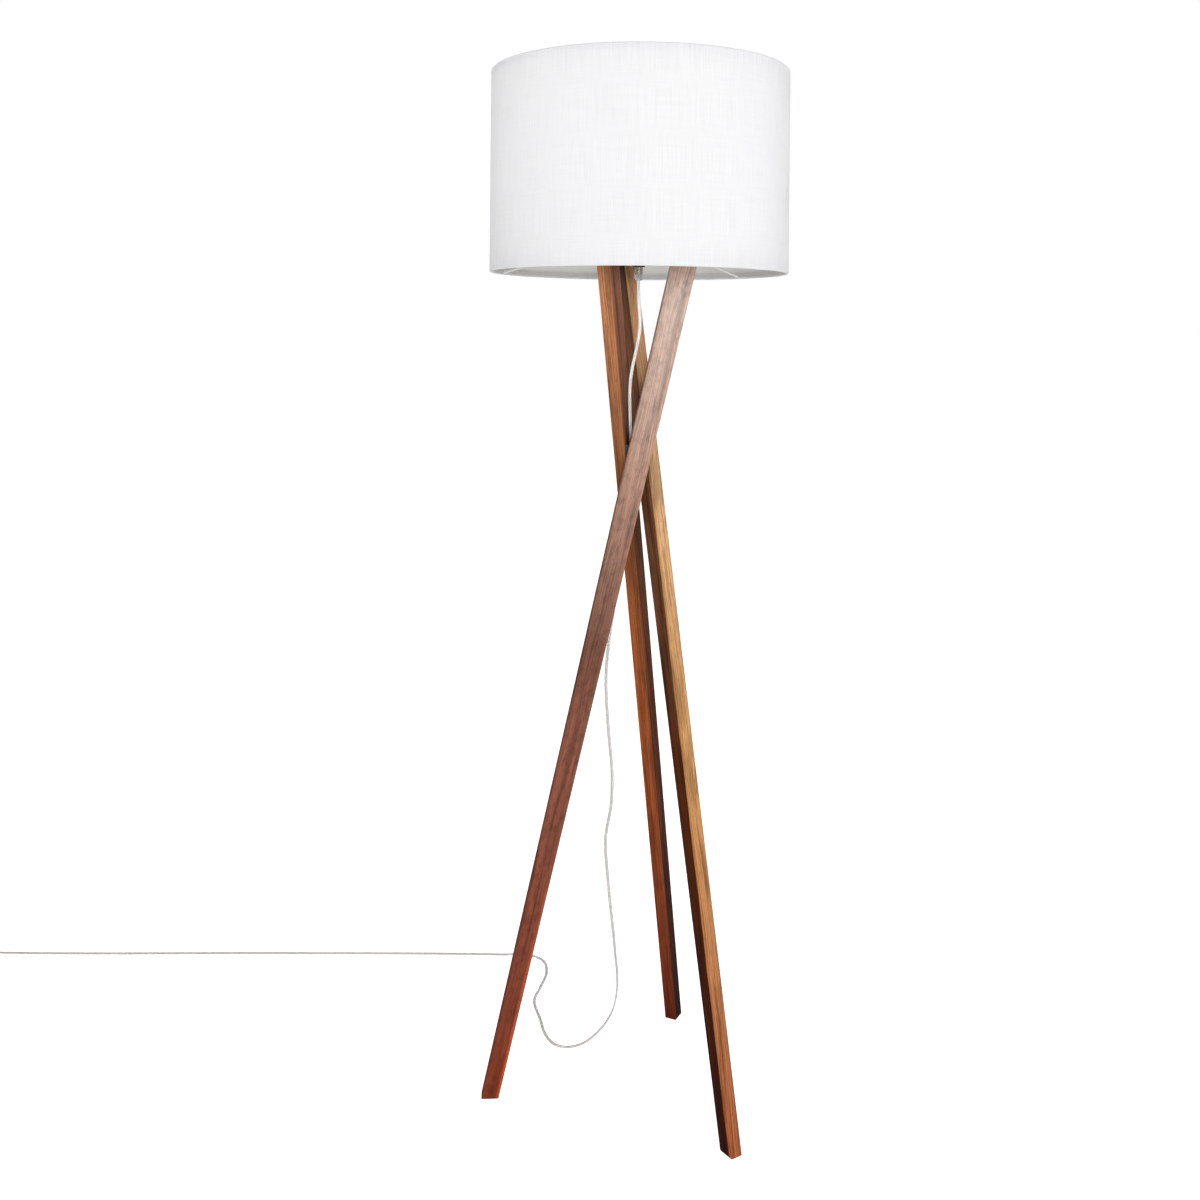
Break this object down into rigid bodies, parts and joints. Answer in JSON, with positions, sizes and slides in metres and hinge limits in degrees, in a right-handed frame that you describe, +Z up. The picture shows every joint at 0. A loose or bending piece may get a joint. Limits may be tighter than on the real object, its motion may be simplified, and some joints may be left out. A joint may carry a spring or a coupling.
{
  "type": "tripod floor lamp",
  "caption": "Floor lamp on three crossing tapered walnut boards, with a white drum shade on a spider, a turn-knob lampholder and a clear twin cord.",
  "frame": {"origin": "on the floor, on the vertical axis through the middle of the shade and the lampholder", "axes": "+Z up, +Y away from the side the lamp is usually seen from, +X to the right"},
  "size_m": [1.5031, 0.7795, 1.5524],
  "materials": {
    "walnut": "oiled, planed boards with straight grain",
    "black_steel": "satin black powder coat on pressed steel",
    "zinc_screws": "bright zinc plate",
    "brass_parts": "turned, unlacquered",
    "clear_plastic": "clear moulded plastic, slightly grey",
    "clear_cord": "clear twin flex with bright stranded wire inside",
    "black_phenolic": "moulded phenolic, low gloss",
    "porcelain": "unglazed steatite",
    "nickel": "nickel-plated brass, drawn",
    "shade_linen": "white slub linen, laminated",
    "shade_backing": "white styrene sheet",
    "white_wire": "white powder coat on steel wire",
    "frosted_glass": "satin-etched glass",
    "black_glass": "black glass insulator",
    "clear_glass": "clear drawn glass",
    "filament": "yellow phosphor-coated light strips"
  },
  "bodies": {
    "stand": {"leg_front": "walnut", "leg_right": "walnut", "leg_back": "walnut", "waist_tube": "black_steel", "waist_screws": "black_steel", "screw_plugs": "walnut", "top_bracket": "black_steel", "bracket_screws": "zinc_screws", "nipple": "brass_parts", "lock_nut": "black_steel", "grip_washer": "zinc_screws", "cord_grip": "clear_plastic", "cord_tail": "clear_cord", "lead_wires": "brass_parts", "holder_cap": "black_phenolic", "holder_skirt": "black_phenolic", "terminal_block": "porcelain", "terminal_screws": "brass_parts", "screw_shell": "nickel", "centre_contact": "brass_parts", "cord": "clear_cord", "plug_body": "clear_plastic", "plug_blades": "nickel"},
    "switch": {"knob_shaft": "brass_parts", "switch_knob": "black_phenolic"},
    "ring_nut": {"shade_ring": "black_phenolic"},
    "shade": {"shade_fabric": "shade_linen", "shade_liner": "shade_backing", "wire_ring_upper": "white_wire", "wire_ring_lower": "white_wire", "spider_hub": "white_wire", "spider_arm_1": "white_wire", "spider_arm_2": "white_wire", "spider_arm_3": "white_wire"},
    "bulb": {"bulb_glass": "frosted_glass", "bulb_cap": "nickel", "bulb_insulator": "black_glass", "bulb_tip": "nickel", "bulb_stem": "clear_glass", "bulb_filaments": "filament"}
  },
  "joints": [
    {"name": "knob_turn", "type": "hinge", "parent": "stand", "child": "switch", "pos_m": [0, 0, 1.279], "axis": [0.3074, -0.9516, 0], "continuous": true},
    {"name": "shade_turn", "type": "hinge", "parent": "stand", "child": "shade", "pos_m": [0, 0, 1.305], "axis": [0, 0, 1], "continuous": true},
    {"name": "ring_nut_turn", "type": "hinge", "parent": "stand", "child": "ring_nut", "pos_m": [0, 0, 1.31], "axis": [0, 0, 1], "continuous": true},
    {"name": "bulb_lift", "type": "slide", "parent": "stand", "child": "bulb", "axis": [0, 0, 1], "range_m": [0, 0.27]}
  ]
}
